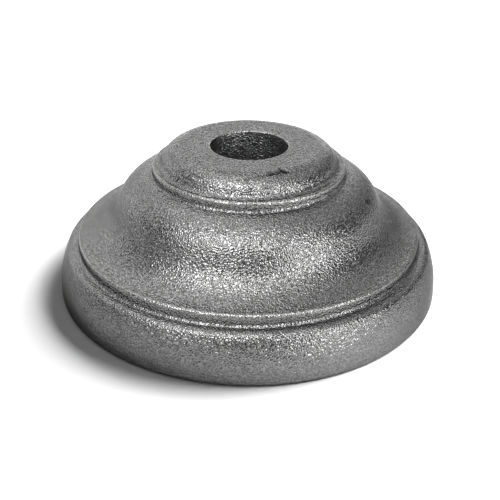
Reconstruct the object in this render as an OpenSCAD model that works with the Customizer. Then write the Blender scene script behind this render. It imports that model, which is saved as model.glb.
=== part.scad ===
// Round base flange: one grey iron casting, turned about the vertical axis.
// Two stepped lips and an ogee bell rise from a crowned base band to a flat top with a plain bore.
// The origin is on the axis at floor level, +Z is up, and all lengths are in millimetres.

/* [Overall] */
// Diameter of the casting at the floor
base_diameter = 101.6; // [98:0.1:130]
// Height of the casting from the floor to the flat top
height = 38; // [34:0.5:60]

/* [Bore] */
// Diameter of the bore through the top
bore_diameter = 19.8; // [10:0.1:30]
// Length of the bore from the flat top down to the hollow
bore_length = 16; // [10:0.5:24]
// Rounding of both edges of the bore
bore_edge_round = 0.5; // [0.1:0.1:2]

/* [Top tier] */
// Diameter at which the flat top would meet the side of the tier
top_diameter = 42; // [36:0.1:45]
// Rounding of the edge of the flat top
top_round = 5.2; // [1:0.1:6]
// Height of the flat top above the upper lip
tier_height = 4.6; // [3:0.1:8]
// Diameter at which the side of the tier would meet the lip
cove_diameter = 46.4; // [43:0.1:49]
// Rounding of the cove between the side of the tier and the lip
cove_round = 1.4; // [0.5:0.1:4]
// Fall of the upper lip towards its edge, in degrees
upper_lip_slope = 3.6; // [0:0.1:15]
// Diameter of the upper lip
upper_lip_diameter = 50.3; // [48:0.1:58]
// Height of the step under the upper lip
upper_step = 2.5; // [1:0.1:4]

/* [Bell] */
// Fall of the top of the bell away from the step, in degrees
crown_slope = 11.2; // [0:0.1:30]
// Diameter at which the top of the bell would meet its side
crown_diameter = 63.4; // [56:0.1:70]
// Rounding between the top of the bell and its side
crown_round = 11.7; // [2:0.1:16]
// Diameter at which the side of the bell would meet its flare
flare_diameter = 76.2; // [72:0.1:84]
// Rounding between the side of the bell and its flare
flare_round = 11.3; // [2:0.1:16]
// Fall of the flare towards the lower lip, in degrees
flare_slope = 5.1; // [0:0.1:20]

/* [Base band] */
// Distance of the lower lip from the outside of the casting
lower_lip_inset = 5.5; // [4:0.1:9]
// Height of the step under the lower lip
lower_step = 3; // [1:0.1:5]
// Height of the base band at the foot of that step
band_height = 12.5; // [10:0.1:20]
// Fall of the ledge on top of the band, in degrees
ledge_slope = 2.7; // [0:0.1:15]
// Distance of the shoulder of the band from the outside of the casting
shoulder_inset = 2.8; // [1:0.1:3.8]
// Rounding of the shoulder
shoulder_round = 1.8; // [0.5:0.1:5]
// Height at which the upper and lower parts of the wall would meet
wall_knee_height = 6.9; // [4:0.1:9]
// Rounding of the crowned wall of the band
wall_round = 22; // [5:0.5:40]
// Draft of the lower part of the wall, in degrees
wall_draft = 1; // [0:0.1:4]
// Rounding of the edge at the floor
floor_edge_round = 0.8; // [0.1:0.1:2]

/* [Cast edges] */
// Rounding of the two lips
lip_round = 0.75; // [0.1:0.05:1]
// Fillet at the foot of each step
step_fillet = 0.8; // [0.1:0.05:1]

/* [Hollow underside] */
// Width of the flat ring that stands on the floor
rim_width = 6; // [4:0.1:12]
// Thickness of the iron behind the bell and its flare
wall_thickness = 6.5; // [4:0.1:9]
// Draft of the wall of the hollow, in degrees
hollow_draft = 3; // [0:0.1:10]
// Rounding of the corners inside the hollow
hollow_fillet = 4; // [0.5:0.1:6]

/* [Hidden] */

base_radius = base_diameter / 2;
bore_radius = bore_diameter / 2;
ceiling_level = height - bore_length;

// Point at a distance from the axis on a line through a point that falls outwards by an angle
function on_slope(point, slope, radius) = [radius, point[1] - (radius - point[0]) * tan(slope)];

// Point at a level on a line through two points
function on_line(first, second, level) =
    first + (second - first) * (level - first[1]) / (second[1] - first[1]);

// The outside, from the flat top down to the floor
upper_lip = [upper_lip_diameter / 2, height - tier_height];
top_corner = [top_diameter / 2, height];
cove_corner = on_slope(upper_lip, upper_lip_slope, cove_diameter / 2);
upper_foot = upper_lip - [0, upper_step];
crown_corner = on_slope(upper_foot, crown_slope, crown_diameter / 2);
lower_foot = [base_radius - lower_lip_inset, band_height];
lower_lip = lower_foot + [0, lower_step];
flare_corner = on_slope(lower_lip, flare_slope, flare_diameter / 2);
shoulder_corner = on_slope(lower_foot, ledge_slope, base_radius - shoulder_inset);
knee_corner = [base_radius - wall_knee_height * tan(wall_draft), wall_knee_height];
floor_corner = [base_radius, 0];

// The hollow, whose sloping side runs parallel to the side of the bell
bell_side = (flare_corner - crown_corner) / norm(flare_corner - crown_corner);
inward = [bell_side[1], -bell_side[0]] * wall_thickness;
ledge_level = flare_corner[1] - wall_thickness;
mouth_radius = base_radius - rim_width;
mouth_corner = [mouth_radius, 0];
ledge_outer_corner = [mouth_radius - ledge_level * tan(hollow_draft), ledge_level];
ledge_inner_corner = on_line(crown_corner + inward, flare_corner + inward, ledge_level);
ceiling_corner = on_line(crown_corner + inward, flare_corner + inward, ceiling_level);

// The corners of the section in order, each with its rounding
SECTION = [
    [[bore_radius, height], bore_edge_round],
    [top_corner, top_round],
    [cove_corner, cove_round],
    [upper_lip, lip_round],
    [upper_foot, step_fillet],
    [crown_corner, crown_round],
    [flare_corner, flare_round],
    [lower_lip, lip_round],
    [lower_foot, step_fillet],
    [shoulder_corner, shoulder_round],
    [knee_corner, wall_round],
    [floor_corner, floor_edge_round],
    [mouth_corner, floor_edge_round],
    [ledge_outer_corner, hollow_fillet],
    [ledge_inner_corner, hollow_fillet],
    [ceiling_corner, hollow_fillet],
    [[bore_radius, ceiling_level], bore_edge_round],
];
LAST = len(SECTION) - 1;

// Share of a side that the roundings at its two ends may take together
SIDE_SHARE = 0.98;
// How far each rounding reaches past the two sides of its corner, so that they cross cleanly
BITE = 0.005;
// Segments of a full circle about the axis and of the roundings
AXIS_SEGMENTS = 180;
ROUND_SEGMENTS = 180;

function corner(index) = SECTION[index][0];
function rounding(index) = SECTION[index][1];
function before(index) = index == 0 ? LAST : index - 1;
function after(index) = index == LAST ? 0 : index + 1;

// The side that leaves a corner, its direction, and the direction to its left
function side(index) = corner(after(index)) - corner(index);
function heading(index) = side(index) / norm(side(index));
function leftward(index) = [-heading(index)[1], heading(index)[0]];

// Turn of the outline at a corner in degrees: an outer corner turns right, which is negative
function turn(index) =
    atan2(leftward(before(index)) * heading(index), heading(before(index)) * heading(index));
function is_outer(index) = turn(index) < 0;

// Length of side that a rounding takes, limited so that neighbouring roundings share their side
function wanted_reach(index) = rounding(index) * tan(abs(turn(index)) / 2);
function fit_on_side(index) =
    min(1, SIDE_SHARE * norm(side(index)) / (wanted_reach(index) + wanted_reach(after(index))));
function fit_at_corner(index) = min(fit_on_side(before(index)), fit_on_side(index));
function reach(index) = wanted_reach(index) * fit_at_corner(index);
function radius_at(index) = rounding(index) * fit_at_corner(index);

// Where the rounding of a corner leaves its first side and joins its second
function arc_start(index) = corner(index) - heading(before(index)) * reach(index);
function arc_end(index) = corner(index) + heading(index) * reach(index);

// The circle that rounds a corner
module rounding_circle(index) {
    towards_centre = leftward(before(index)) * sign(turn(index));
    translate(arc_start(index) + towards_centre * radius_at(index))
        circle(r = radius_at(index) + BITE, $fn = ROUND_SEGMENTS);
}

// What comes off an outer corner to leave its rounding
module corner_waste(index) {
    chord_middle = (arc_start(index) + arc_end(index)) / 2;
    beyond = 2 * corner(index) - chord_middle;
    difference() {
        polygon([arc_start(index), beyond, arc_end(index)]);
        rounding_circle(index);
    }
}

// Half of the cross-section of the casting, with outer corners rounded off and inner corners hollowed out
module cross_section() {
    difference() {
        polygon([
            for (index = [0 : LAST])
                each is_outer(index) ? [corner(index)] : [arc_start(index), arc_end(index)]
        ]);
        for (index = [0 : LAST])
            if (is_outer(index))
                corner_waste(index);
            else
                rounding_circle(index);
    }
}

// The whole flange, cast in one piece
module flange_casting() {
    color("dimgray")
        rotate_extrude($fn = AXIS_SEGMENTS)
            cross_section();
}

flange_casting();
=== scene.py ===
"""Looks of a round base flange: a raw grey iron casting that stands on a pale studio floor."""

import logging
import math
from dataclasses import dataclass
from enum import Enum
from typing import Any

import bmesh
import bpy
import numpy as np
from mathutils import Matrix, Vector, noise


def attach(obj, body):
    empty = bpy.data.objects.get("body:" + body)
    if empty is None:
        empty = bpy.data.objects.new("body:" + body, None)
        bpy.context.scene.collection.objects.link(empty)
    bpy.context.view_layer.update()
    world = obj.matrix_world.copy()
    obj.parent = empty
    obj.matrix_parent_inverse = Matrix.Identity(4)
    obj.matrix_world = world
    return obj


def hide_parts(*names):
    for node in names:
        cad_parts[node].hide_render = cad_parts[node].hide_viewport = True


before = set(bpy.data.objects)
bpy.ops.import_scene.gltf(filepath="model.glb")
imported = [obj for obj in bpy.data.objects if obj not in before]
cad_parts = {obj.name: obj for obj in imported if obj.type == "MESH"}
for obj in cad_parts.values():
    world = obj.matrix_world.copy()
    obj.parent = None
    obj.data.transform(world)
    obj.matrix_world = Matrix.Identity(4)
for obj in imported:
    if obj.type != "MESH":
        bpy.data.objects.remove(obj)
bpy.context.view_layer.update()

LOG = logging.getLogger("round_base_flange")

MM = 0.001
WELD = 1e-6
BODY = "root"
NODE = "flange_casting"
# Share of painted shade in the flaws: pits and creases darken in colour the deeper they are
FLAW_SHADE_ATTRIBUTE = "flaw_painted_shade"
WEAR_ATTRIBUTE = "edge_wear"
CORE_ATTRIBUTE = "cored_skin"


def linear(hex_colour: str) -> tuple[float, float, float, float]:
    """Turns an sRGB hex colour to linear light.

    Args:
        hex_colour: Six hex digits after a hash sign.

    Returns:
        Red, green, blue and an alpha of 1.
    """
    levels = [int(hex_colour[start:start + 2], 16) / 255 for start in (1, 3, 5)]
    red, green, blue = (
        level / 12.92 if level <= 0.04045 else ((level + 0.055) / 1.055) ** 2.4 for level in levels
    )
    return red, green, blue, 1.0


def per_metre(size_mm: float) -> float:
    """Gives the texture scale at which one cell of a pattern measures size_mm."""
    return 1 / (size_mm * MM)


def add_node(
    tree: bpy.types.NodeTree,
    kind: str,
    settings: dict[str, Any] | None = None,
    inputs: dict[str | int, Any] | None = None,
) -> bpy.types.Node:
    """Adds a node, sets it up and links it.

    Args:
        tree: The tree that gets the node.
        kind: Blender's name for the type of node.
        settings: Properties of the node by name.
        inputs: Input sockets by name or place, each with a value or with the socket that feeds it.

    Returns:
        The new node.
    """
    node = tree.nodes.new(kind)
    for name, value in (settings or {}).items():
        setattr(node, name, value)
    for key, value in (inputs or {}).items():
        if isinstance(value, bpy.types.NodeSocket):
            tree.links.new(value, node.inputs[key])
        else:
            node.inputs[key].default_value = value
    return node


@dataclass(frozen=True)
class SandCastIron:
    """Grey iron as it comes from a sand mould: shot-blasted, unpainted and faintly oiled.

    The sand leaves a fine pebbled skin with bright crests and dull hollows. Each pebble mirrors the lights
    a little differently, so broad highlights break up into glitter, while faces that mirror an even
    surround stay a quiet grey. A thin oxide skin keeps the rims from flaring up at a glancing angle.
    Handling has rubbed the thin lips brighter, and the core sand has left the bore rougher.
    """

    name: str = "grey_iron_sand_cast"
    crest_hex: str = "#7E7E7E"
    hollow_hex: str = "#646463"
    rubbed_hex: str = "#888887"
    core_hex: str = "#707070"
    # Painted shade in the pits and creases: their colour darkens towards this the deeper they are
    flaw_shade_hex: str = "#2A2A2A"
    edge_hex: str = "#A0A0A0"
    stain_mm: float = 11.0
    stain_octaves: float = 4.0
    stain_gain: float = 0.55
    bright_roughness: float = 0.2
    dull_roughness: float = 0.28
    core_roughness: float = 0.38
    # Moulding sand is about 0.25 mm, too fine to show at this distance, so its pebbles are drawn coarser
    grain_mm: float = 0.4
    grain_height_mm: float = 0.19
    core_grain_height_mm: float = 0.32
    # Levels of the grain below which the skin is all hollow and above which it is all crest
    hollow_level: float = 0.36
    crest_level: float = 0.64

    def material(self) -> bpy.types.Material:
        """Builds the material of the casting.

        Returns:
            The node material. It reads the painted shade of the flaws, the rubbed edges and the cored skin
            from attributes of the mesh.
        """
        iron = bpy.data.materials.new(self.name)
        iron.use_nodes = True
        tree = iron.node_tree
        tree.nodes.clear()
        place = add_node(tree, "ShaderNodeTexCoord").outputs["Object"]
        # Painted shade of the pits and creases, as stored on the mesh
        flaw = add_node(tree, "ShaderNodeAttribute", {"attribute_name": FLAW_SHADE_ATTRIBUTE}).outputs["Fac"]
        wear = add_node(tree, "ShaderNodeAttribute", {"attribute_name": WEAR_ATTRIBUTE}).outputs["Fac"]
        core = add_node(tree, "ShaderNodeAttribute", {"attribute_name": CORE_ATTRIBUTE}).outputs["Fac"]
        stain = add_node(
            tree, "ShaderNodeTexNoise", None,
            {
                "Vector": place,
                "Scale": per_metre(self.stain_mm),
                "Detail": self.stain_octaves,
                "Roughness": self.stain_gain,
            },
        ).outputs["Fac"]
        grain = add_node(
            tree, "ShaderNodeTexNoise", None,
            {"Vector": place, "Scale": per_metre(self.grain_mm), "Detail": 0.0},
        ).outputs["Fac"]
        relief = add_node(
            tree, "ShaderNodeMapRange", None,
            {"Value": core, "To Min": self.grain_height_mm * MM, "To Max": self.core_grain_height_mm * MM},
        ).outputs["Result"]
        skin = add_node(
            tree, "ShaderNodeBump", None, {"Strength": 1.0, "Distance": relief, "Height": grain}
        ).outputs["Normal"]
        crest = add_node(
            tree, "ShaderNodeMapRange", None,
            {"Value": grain, "From Min": self.hollow_level, "From Max": self.crest_level},
        ).outputs["Result"]
        pebbled = add_node(
            tree, "ShaderNodeMix", {"data_type": "RGBA"},
            {0: crest, 6: linear(self.hollow_hex), 7: linear(self.crest_hex)},
        ).outputs[2]
        rubbed = add_node(
            tree, "ShaderNodeMix", {"data_type": "RGBA"}, {0: wear, 6: pebbled, 7: linear(self.rubbed_hex)}
        ).outputs[2]
        cored = add_node(
            tree, "ShaderNodeMix", {"data_type": "RGBA"}, {0: core, 6: rubbed, 7: linear(self.core_hex)}
        ).outputs[2]
        # Painted shade: the colour darkens in the pits and creases
        colour = add_node(
            tree, "ShaderNodeMix", {"data_type": "RGBA"}, {0: flaw, 6: cored, 7: linear(self.flaw_shade_hex)}
        ).outputs[2]
        stained = add_node(
            tree, "ShaderNodeMapRange", None,
            {"Value": stain, "To Min": self.bright_roughness, "To Max": self.dull_roughness},
        ).outputs["Result"]
        roughness = add_node(
            tree, "ShaderNodeMapRange", None,
            {"Value": core, "To Min": stained, "To Max": self.core_roughness},
        ).outputs["Result"]
        shader = add_node(
            tree, "ShaderNodeBsdfPrincipled", None,
            {
                "Base Color": colour,
                "Metallic": 1.0,
                "Roughness": roughness,
                "Normal": skin,
                "Specular Tint": linear(self.edge_hex),
            },
        )
        add_node(tree, "ShaderNodeOutputMaterial", None, {"Surface": shader.outputs[0]})
        return iron


class FlawKind(Enum):
    """How a flaw of the casting is cut."""

    PIT = "pit"
    CREASE = "crease"


@dataclass(frozen=True)
class CastingFlaw:
    """A hollow that the sand left in the skin, along a path of azimuths in degrees and radii in mm."""

    kind: FlawKind
    path: tuple[tuple[float, float], ...]
    width_mm: float
    depth_mm: float
    # The rim of a flaw wavers by this share of its width, in waves of this size
    ragged_share: float = 0.7
    ragged_size_mm: float = 0.9
    least_width_share: float = 0.3

    def share_at(self, places: np.ndarray, path: list[np.ndarray]) -> np.ndarray:
        """Works out how deep each point lies in the flaw, from 0 outside it to 1 at its bottom.

        Args:
            places: The points of the mesh.
            path: The points that the flaw follows.

        Returns:
            One share for each point of the mesh.
        """
        share = np.zeros(len(places))
        half = self.width_mm * MM / 2
        widest = half * (1 + self.ragged_share)
        ends = list(zip(path[:-1], path[1:])) or [(path[0], path[0])]
        for first, second in ends:
            run = second - first
            along = np.clip((places - first) @ run / max(run @ run, WELD * WELD), 0, 1)
            away = np.linalg.norm(places - first - along[:, None] * run, axis=1)
            for index in np.flatnonzero(away < widest):
                waver = noise.noise(Vector(places[index]) / (self.ragged_size_mm * MM))
                reach_to = half * max(self.least_width_share, 1 + self.ragged_share * waver)
                reach = min(1.0, away[index] / reach_to)
                cut = (1 - reach) if self.kind is FlawKind.CREASE else (1 - reach * reach)
                share[index] = max(share[index], cut)
        return share


@dataclass
class FlangeCasting:
    """The whole flange: one casting, turned about the vertical axis."""

    finish: SandCastIron
    flaws: tuple[CastingFlaw, ...]
    steps_around: int = 372
    least_step_mm: float = 0.17
    hollow_step_mm: float = 1.5
    hollow_least_step_mm: float = 0.5
    swell_size_mm: float = 8.0
    swell_depth_mm: float = 0.14
    ripple_size_mm: float = 1.6
    ripple_depth_mm: float = 0.03
    wave_octaves: float = 1.0
    # The skin stays true up to the first level, where the casting stands, and is uneven from the second up
    true_to_mm: float = 0.2
    uneven_from_mm: float = 2.0
    mouth_depth_mm: float = 0.8
    # Pits and creases this deep or deeper get the full painted shade
    full_shade_depth_mm: float = 0.4
    blunt_turn_per_mm: float = 0.7
    sharp_turn_per_mm: float = 1.1
    seed: int = 11

    def read_section(self) -> tuple[list[Vector], int]:
        """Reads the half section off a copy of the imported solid.

        Returns:
            The loop of points in the XZ plane, from the mouth of the bore out over the top and round,
            and the number of them that lie on the outside.
        """
        solid = bmesh.new()
        solid.from_mesh(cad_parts[NODE].data)
        bmesh.ops.remove_doubles(solid, verts=solid.verts[:], dist=WELD)
        bmesh.ops.bisect_plane(
            solid,
            geom=solid.verts[:] + solid.edges[:] + solid.faces[:],
            dist=WELD,
            plane_co=(0, 0, 0),
            plane_no=(0, 1, 0),
        )
        on_plane = {vert for vert in solid.verts if abs(vert.co.y) < WELD and vert.co.x > 0}
        neighbours = {
            vert: [edge.other_vert(vert) for edge in vert.link_edges if edge.other_vert(vert) in on_plane]
            for vert in on_plane
        }
        top = max(vert.co.z for vert in on_plane)
        mouth = min((vert for vert in on_plane if vert.co.z > top - WELD), key=lambda vert: vert.co.x)
        loop = [mouth, max(neighbours[mouth], key=lambda vert: vert.co.x)]
        while True:
            onward = next(vert for vert in neighbours[loop[-1]] if vert is not loop[-2])
            if onward is mouth:
                break
            loop.append(onward)
        points = [vert.co.copy() for vert in loop]
        solid.free()
        outside = next(index for index, point in enumerate(points) if point.z < WELD)
        return points, outside

    def resample(self, points: list[Vector], outside: int) -> tuple[list[Vector], int]:
        """Spaces the section's points for a mesh with nearly square faces on the outside.

        Args:
            points: The loop of section points.
            outside: How many of them lie on the outside.

        Returns:
            The new loop, and the number of its points that lie on the outside.
        """
        spaced: list[Vector] = []
        outside_spaced = 0
        for index, point in enumerate(points):
            onward = points[(index + 1) % len(points)]
            is_outside = index < outside
            is_fine = is_outside or self.is_mouth(point, points)
            least = (self.least_step_mm if is_fine else self.hollow_least_step_mm) * MM
            step = math.tau * point.x / self.steps_around if is_outside else self.hollow_step_mm * MM
            if not spaced or (point - spaced[-1]).length >= least:
                spaced.append(point)
            run = onward - point
            parts = max(1, math.ceil(run.length / step))
            spaced += [point + run * (part / parts) for part in range(1, parts)]
            if is_outside:
                outside_spaced = len(spaced)
        return spaced, outside_spaced

    def is_mouth(self, point: Vector, points: list[Vector]) -> bool:
        """Tells whether a point of the section lies on the rounded mouth of the bore, at the top."""
        return point.z > points[0].z - self.mouth_depth_mm * MM

    def mark_section(self, wire: bpy.types.Mesh, points: list[Vector], outside: int) -> None:
        """Marks the tight outer corners as rubbed and the hollow as cored.

        Args:
            wire: The mesh of the section's points.
            points: The loop of section points.
            outside: How many of them lie on the outside.
        """
        wear = []
        core = []
        for index, point in enumerate(points):
            is_skin = index < outside or self.is_mouth(point, points)
            before = point - points[index - 1]
            onward = points[(index + 1) % len(points)] - point
            turn = math.atan2(before.z * onward.x - before.x * onward.z, before.dot(onward))
            per_mm = turn / ((before.length + onward.length) / 2 / MM)
            sharp = (per_mm - self.blunt_turn_per_mm) / (self.sharp_turn_per_mm - self.blunt_turn_per_mm)
            wear.append(min(1.0, max(0.0, sharp)) if is_skin else 0.0)
            core.append(0.0 if is_skin else 1.0)
        for name, marks in ((WEAR_ATTRIBUTE, wear), (CORE_ATTRIBUTE, core)):
            wire.attributes.new(name, "FLOAT", "POINT").data.foreach_set("value", marks)

    def turning_tree(self) -> bpy.types.NodeTree:
        """Builds the tree that turns the section about the axis and gives it an uneven cast skin.

        Returns:
            The tree, with named inputs for its sizes.
        """
        tree = bpy.data.node_groups.new("turned_casting", "GeometryNodeTree")
        for name, kind in (
            ("Section", "NodeSocketGeometry"),
            ("Steps Around", "NodeSocketInt"),
            ("Swell Size", "NodeSocketFloat"),
            ("Swell Depth", "NodeSocketFloat"),
            ("Ripple Size", "NodeSocketFloat"),
            ("Ripple Depth", "NodeSocketFloat"),
            ("Seed", "NodeSocketFloat"),
            ("Iron", "NodeSocketMaterial"),
        ):
            tree.interface.new_socket(name=name, in_out="INPUT", socket_type=kind)
        tree.interface.new_socket(name="Casting", in_out="OUTPUT", socket_type="NodeSocketGeometry")
        given = add_node(tree, "NodeGroupInput").outputs
        count = add_node(
            tree, "GeometryNodeAttributeDomainSize", {"component": "MESH"}, {"Geometry": given["Section"]}
        ).outputs["Point Count"]
        rows = add_node(tree, "ShaderNodeMath", {"operation": "ADD"}, {0: count, 1: 1.0}).outputs[0]
        columns = add_node(
            tree, "ShaderNodeMath", {"operation": "ADD"}, {0: given["Steps Around"], 1: 1.0}
        ).outputs[0]
        sheet = add_node(
            tree, "GeometryNodeMeshGrid", None, {"Vertices X": columns, "Vertices Y": rows}
        ).outputs["Mesh"]
        index = add_node(tree, "GeometryNodeInputIndex").outputs[0]
        share = add_node(tree, "ShaderNodeMath", {"operation": "DIVIDE"}, {0: index, 1: rows}).outputs[0]
        column = add_node(tree, "ShaderNodeMath", {"operation": "FLOOR"}, {0: share}).outputs[0]
        place = add_node(tree, "ShaderNodeMath", {"operation": "MODULO"}, {0: index, 1: rows}).outputs[0]
        row = add_node(tree, "ShaderNodeMath", {"operation": "MODULO"}, {0: place, 1: count}).outputs[0]
        here = add_node(tree, "GeometryNodeInputPosition").outputs[0]
        sampled = add_node(
            tree, "GeometryNodeSampleIndex", {"data_type": "FLOAT_VECTOR", "domain": "POINT"},
            {"Geometry": given["Section"], "Value": here, "Index": row},
        ).outputs["Value"]
        step = add_node(
            tree, "ShaderNodeMath", {"operation": "DIVIDE"}, {0: -math.tau, 1: given["Steps Around"]}
        ).outputs[0]
        turn = add_node(tree, "ShaderNodeMath", {"operation": "MULTIPLY"}, {0: column, 1: step}).outputs[0]
        turned = add_node(
            tree, "ShaderNodeVectorRotate", {"rotation_type": "Z_AXIS"}, {"Vector": sampled, "Angle": turn}
        ).outputs[0]
        marked = add_node(
            tree, "GeometryNodeSetPosition", None, {"Geometry": sheet, "Position": turned}
        ).outputs[0]
        for name in (WEAR_ATTRIBUTE, CORE_ATTRIBUTE):
            on_section = add_node(
                tree, "GeometryNodeInputNamedAttribute", {"data_type": "FLOAT"}, {"Name": name}
            ).outputs["Attribute"]
            mark = add_node(
                tree, "GeometryNodeSampleIndex", {"data_type": "FLOAT", "domain": "POINT"},
                {"Geometry": given["Section"], "Value": on_section, "Index": row},
            ).outputs["Value"]
            marked = add_node(
                tree, "GeometryNodeStoreNamedAttribute", {"data_type": "FLOAT", "domain": "POINT"},
                {"Geometry": marked, "Name": name, "Value": mark},
            ).outputs[0]
        welded = add_node(
            tree, "GeometryNodeMergeByDistance", None, {"Geometry": marked, "Distance": WELD}
        ).outputs[0]
        smooth = add_node(tree, "GeometryNodeSetShadeSmooth", None, {"Geometry": welded}).outputs[0]
        sunk = 0.0
        for size, depth in (("Swell Size", "Swell Depth"), ("Ripple Size", "Ripple Depth")):
            scale = add_node(
                tree, "ShaderNodeMath", {"operation": "DIVIDE"}, {0: 1.0, 1: given[size]}
            ).outputs[0]
            wave = add_node(
                tree, "ShaderNodeTexNoise", {"noise_dimensions": "4D"},
                {"W": given["Seed"], "Scale": scale, "Detail": self.wave_octaves},
            ).outputs[0]
            hollow = add_node(
                tree, "ShaderNodeMath", {"operation": "SUBTRACT"}, {0: wave, 1: 1.0}
            ).outputs[0]
            sunk = add_node(
                tree, "ShaderNodeMath", {"operation": "MULTIPLY_ADD"}, {0: hollow, 1: given[depth], 2: sunk}
            ).outputs[0]
        level = add_node(tree, "ShaderNodeSeparateXYZ", None, {0: here}).outputs["Z"]
        off_floor = add_node(
            tree, "ShaderNodeMapRange", {"interpolation_type": "SMOOTHSTEP"},
            {"Value": level, "From Min": self.true_to_mm * MM, "From Max": self.uneven_from_mm * MM},
        ).outputs[0]
        inward = add_node(
            tree, "ShaderNodeMath", {"operation": "MULTIPLY"}, {0: sunk, 1: off_floor}
        ).outputs[0]
        outward = add_node(tree, "GeometryNodeInputNormal").outputs[0]
        offset = add_node(
            tree, "ShaderNodeVectorMath", {"operation": "SCALE"}, {0: outward, "Scale": inward}
        ).outputs[0]
        skin = add_node(
            tree, "GeometryNodeSetPosition", None, {"Geometry": smooth, "Offset": offset}
        ).outputs[0]
        real = add_node(tree, "GeometryNodeRealizeInstances", None, {"Geometry": skin}).outputs[0]
        cast = add_node(
            tree, "GeometryNodeSetMaterial", None, {"Geometry": real, "Material": given["Iron"]}
        ).outputs[0]
        add_node(tree, "NodeGroupOutput", None, {"Casting": cast})
        return tree

    def build(self) -> bpy.types.Object:
        """Turns the section and gives the casting its skin and flaws.

        Returns:
            The finished piece, at the origin with its place in its mesh.
        """
        points, outside = self.resample(*self.read_section())
        wire = bpy.data.meshes.new("flange_section")
        wire.from_pydata(points, [], [])
        self.mark_section(wire, points, outside)
        pattern = bpy.data.objects.new("flange_section", wire)
        bpy.context.scene.collection.objects.link(pattern)
        tree = self.turning_tree()
        turning = pattern.modifiers.new("turned_casting", "NODES")
        turning.node_group = tree
        sizes = {
            "Steps Around": self.steps_around,
            "Swell Size": self.swell_size_mm * MM,
            "Swell Depth": self.swell_depth_mm * MM,
            "Ripple Size": self.ripple_size_mm * MM,
            "Ripple Depth": self.ripple_depth_mm * MM,
            "Seed": float(self.seed),
            "Iron": self.finish.material(),
        }
        for item in tree.interface.items_tree:
            if item.name in sizes:
                turning[item.identifier] = sizes[item.name]
        evaluated = pattern.evaluated_get(bpy.context.evaluated_depsgraph_get())
        mesh = bpy.data.meshes.new_from_object(evaluated)
        mesh.name = "cast_flange"
        bpy.data.objects.remove(pattern)
        self.press_flaws(mesh, points[:outside])
        piece = bpy.data.objects.new("cast_flange", mesh)
        bpy.context.scene.collection.objects.link(piece)
        return piece

    def press_flaws(self, mesh: bpy.types.Mesh, outside: list[Vector]) -> None:
        """Presses the flaws into the skin and marks a painted shade that darkens each point the deeper it
        lies in one.

        Args:
            mesh: The mesh of the casting.
            outside: The section's points on the outside, which give the level at a radius.
        """
        count = len(mesh.vertices)
        places = np.empty(count * 3)
        mesh.vertices.foreach_get("co", places)
        places = places.reshape(-1, 3)
        normals = np.empty(count * 3)
        mesh.vertex_normals.foreach_get("vector", normals)
        normals = normals.reshape(-1, 3)
        radii = [point.x for point in outside]
        levels = [point.z for point in outside]
        marked = np.zeros(count)
        for flaw in self.flaws:
            path = []
            for azimuth, radius_mm in flaw.path:
                angle = math.radians(azimuth)
                radius = radius_mm * MM
                level = float(np.interp(radius, radii, levels))
                path.append(np.array((radius * math.cos(angle), radius * math.sin(angle), level)))
            share = flaw.share_at(places, path)
            places -= normals * (share * flaw.depth_mm * MM)[:, None]
            # Painted shade: the deeper a point lies in a flaw, the darker its colour
            marked = np.maximum(marked, share * min(1.0, flaw.depth_mm / self.full_shade_depth_mm))
        mesh.vertices.foreach_set("co", places.ravel())
        depth = mesh.attributes.new(FLAW_SHADE_ATTRIBUTE, "FLOAT", "POINT")
        depth.data.foreach_set("value", marked)
        mesh.update()

    def dress(self, piece: bpy.types.Object) -> None:
        """Puts the piece on its body in place of the plain solid.

        Args:
            piece: The finished piece.
        """
        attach(piece, BODY)
        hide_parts(NODE)


@dataclass(frozen=True)
class MattWhite:
    """Matt white board, sprayed with emulsion: to the eye a pale, even ground with no gloss."""

    name: str = "matt_white_board"
    board_hex: str = "#FAFAFA"

    def material(self) -> bpy.types.Material:
        """Builds the material of the floor.

        Returns:
            The node material.
        """
        board = bpy.data.materials.new(self.name)
        board.use_nodes = True
        tree = board.node_tree
        tree.nodes.clear()
        shader = add_node(
            tree, "ShaderNodeBsdfPrincipled", None,
            {"Base Color": linear(self.board_hex), "Roughness": 1.0, "Specular IOR Level": 0.0},
        )
        add_node(tree, "ShaderNodeOutputMaterial", None, {"Surface": shader.outputs[0]})
        return board


class LightRole(Enum):
    """What a soft box is there for."""

    GLEAM = "mirrored by the iron"
    SHADOW = "lights the floor and throws the shadow"


@dataclass(frozen=True)
class SoftBox:
    """A soft box that faces the flange. Azimuth 0 is in front of it and 90 to its right."""

    name: str
    role: LightRole
    azimuth_deg: float
    elevation_deg: float
    width_mm: float
    height_mm: float
    level: float
    distance_mm: float = 600.0

    def build(self) -> bpy.types.Object:
        """Hangs the soft box, with its brightness as a level at which 1 is white.

        Returns:
            The lamp.
        """
        lamp = bpy.data.lights.new(self.name, "AREA")
        lamp.shape = "RECTANGLE"
        lamp.size = self.width_mm * MM
        lamp.size_y = self.height_mm * MM
        lamp.energy = self.level * math.pi * lamp.size * lamp.size_y
        azimuth = math.radians(self.azimuth_deg)
        elevation = math.radians(self.elevation_deg)
        outward = Vector((
            math.sin(azimuth) * math.cos(elevation),
            -math.cos(azimuth) * math.cos(elevation),
            math.sin(elevation),
        ))
        box = bpy.data.objects.new(self.name, lamp)
        box.location = outward * self.distance_mm * MM
        box.rotation_euler = outward.to_track_quat("Z", "Y").to_euler()
        box.visible_diffuse = self.role is LightRole.SHADOW
        box.visible_glossy = self.role is LightRole.GLEAM
        bpy.context.scene.collection.objects.link(box)
        return box


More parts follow.
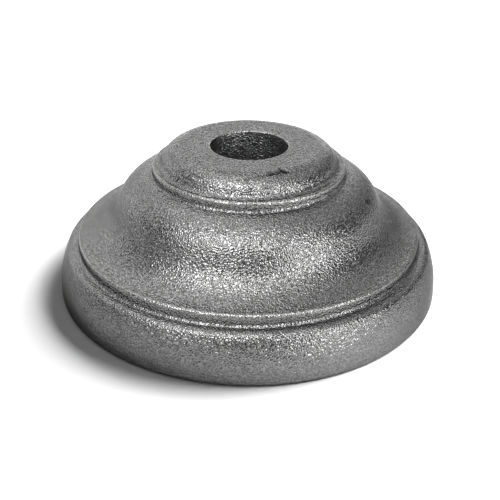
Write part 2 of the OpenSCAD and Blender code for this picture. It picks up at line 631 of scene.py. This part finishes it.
@dataclass(frozen=True)
class PhotoCamera:
    """The camera at the photograph's place: low in front of the flange, looking down on it."""

    distance_mm: float = 218.3
    elevation_deg: float = 29.05
    aim_mm: tuple[float, float, float] = (0.5, 0.0, 6.97)
    lens_mm: float = 57.0
    sensor_mm: float = 36.0
    roll_deg: float = 0.64
    near_clip_mm: float = 10.0

    def build(self) -> bpy.types.Object:
        """Sets up the camera and makes it the scene's own.

        Returns:
            The camera.
        """
        optics = bpy.data.cameras.new("photo_camera")
        optics.lens = self.lens_mm
        optics.sensor_width = self.sensor_mm
        optics.clip_start = self.near_clip_mm * MM
        camera = bpy.data.objects.new("photo_camera", optics)
        elevation = math.radians(self.elevation_deg)
        back = Vector((0, -math.cos(elevation), math.sin(elevation)))
        camera.location = (Vector(self.aim_mm) + back * self.distance_mm) * MM
        facing = back.to_track_quat("Z", "Y").to_matrix()
        camera.rotation_euler = (facing @ Matrix.Rotation(math.radians(self.roll_deg), 3, "Z")).to_euler()
        bpy.context.scene.collection.objects.link(camera)
        bpy.context.scene.camera = camera
        return camera


@dataclass(frozen=True)
class Studio:
    """The pale floor, the dim room and the soft boxes round the flange."""

    floor_finish: MattWhite
    soft_boxes: tuple[SoftBox, ...]
    floor_mm: float = 6000.0
    floor_gap_mm: float = 0.02
    room_hex: str = "#FFFFFF"
    room_level: float = 0.12

    def build_floor(self) -> bpy.types.Object:
        """Lays the floor just under the flange.

        Returns:
            The floor.
        """
        half = self.floor_mm * MM / 2
        level = -self.floor_gap_mm * MM
        mesh = bpy.data.meshes.new("studio_floor")
        corners = [(-half, -half, level), (half, -half, level), (half, half, level), (-half, half, level)]
        mesh.from_pydata(corners, [], [(0, 1, 2, 3)])
        mesh.materials.append(self.floor_finish.material())
        floor = bpy.data.objects.new("studio_floor", mesh)
        bpy.context.scene.collection.objects.link(floor)
        return floor

    def build_room(self) -> bpy.types.World:
        """Surrounds the flange with an even dim room.

        Returns:
            The world.
        """
        room = bpy.data.worlds.new("dim_room")
        room.use_nodes = True
        room.node_tree.nodes.clear()
        light = add_node(
            room.node_tree, "ShaderNodeBackground", None,
            {"Color": linear(self.room_hex), "Strength": self.room_level},
        )
        add_node(room.node_tree, "ShaderNodeOutputWorld", None, {"Surface": light.outputs[0]})
        bpy.context.scene.world = room
        return room

    def build(self) -> None:
        """Sets up the floor, the room and the lights."""
        self.build_floor()
        self.build_room()
        for box in self.soft_boxes:
            box.build()


TOP_FLAWS = (
    CastingFlaw(FlawKind.PIT, ((-61.6, 18.8), (-63.4, 17.6)), 2.3, 0.55),
    CastingFlaw(FlawKind.PIT, ((-66.0, 18.6), (-68.0, 18.8)), 1.5, 0.35),
    CastingFlaw(FlawKind.PIT, ((-71.5, 18.8), (-74.0, 19.0)), 1.6, 0.35),
    CastingFlaw(FlawKind.CREASE, ((-75.0, 19.1), (-80.0, 19.3), (-88.0, 19.9)), 1.2, 0.18),
)
BELL_FLAWS = (
    CastingFlaw(FlawKind.PIT, ((-21.6, 31.5), (-20.8, 32.4)), 0.9, 0.25),
    CastingFlaw(FlawKind.PIT, ((-19.3, 31.8), (-18.6, 32.6)), 0.8, 0.2),
    CastingFlaw(FlawKind.PIT, ((-80.5, 31.5),), 0.9, 0.25),
    CastingFlaw(FlawKind.PIT, ((-93.2, 35.9),), 1.0, 0.25),
)

SOFT_BOXES = (
    SoftBox("key_box", LightRole.GLEAM, -30.0, 35.0, 290.0, 310.0, 3.2),
    SoftBox("key_spot", LightRole.GLEAM, -25.0, 48.0, 200.0, 200.0, 9.3),
    SoftBox("key_top_box", LightRole.GLEAM, -20.0, 62.0, 235.0, 310.0, 3.8),
    SoftBox("left_box", LightRole.GLEAM, -60.0, 35.0, 290.0, 310.0, 1.8),
    SoftBox("right_spot", LightRole.GLEAM, 45.0, 22.0, 200.0, 200.0, 12.4),
    SoftBox("right_box", LightRole.GLEAM, 35.0, 48.0, 200.0, 200.0, 3.7),
    SoftBox("right_low_box", LightRole.GLEAM, 60.0, 8.0, 320.0, 300.0, 2.0),
    SoftBox("right_top_box", LightRole.GLEAM, 60.0, 62.0, 235.0, 310.0, 2.3),
    SoftBox("right_back_box", LightRole.GLEAM, 133.0, 35.0, 440.0, 310.0, 1.2),
    SoftBox("right_back_top_box", LightRole.GLEAM, 155.0, 62.0, 290.0, 310.0, 0.8),
    SoftBox("back_low_box", LightRole.GLEAM, 180.0, 8.0, 500.0, 300.0, 6.2),
    SoftBox("back_top_box", LightRole.GLEAM, 205.0, 62.0, 290.0, 310.0, 2.8),
    SoftBox("left_back_box", LightRole.GLEAM, 227.0, 35.0, 440.0, 310.0, 0.8),
    SoftBox("left_back_low_box", LightRole.GLEAM, 227.0, 8.0, 500.0, 300.0, 3.2),
    SoftBox("left_back_top_box", LightRole.GLEAM, 255.0, 62.0, 290.0, 310.0, 1.9),
    SoftBox("shadow_box", LightRole.SHADOW, 123.0, 39.0, 1300.0, 1300.0, 14.6, 1500.0),
)


def main() -> None:
    """Builds the casting, the studio and the camera."""
    logging.basicConfig(level=logging.INFO, format="%(name)s: %(message)s")
    bpy.context.scene.view_settings.view_transform = "Standard"
    PhotoCamera().build()
    Studio(MattWhite(), SOFT_BOXES).build()
    casting = FlangeCasting(SandCastIron(), TOP_FLAWS + BELL_FLAWS)
    piece = casting.build()
    casting.dress(piece)
    triangles = sum(len(face.vertices) - 2 for face in piece.data.polygons)
    LOG.info("%s: %d triangles", piece.name, triangles)


if __name__ == "__main__":
    main()
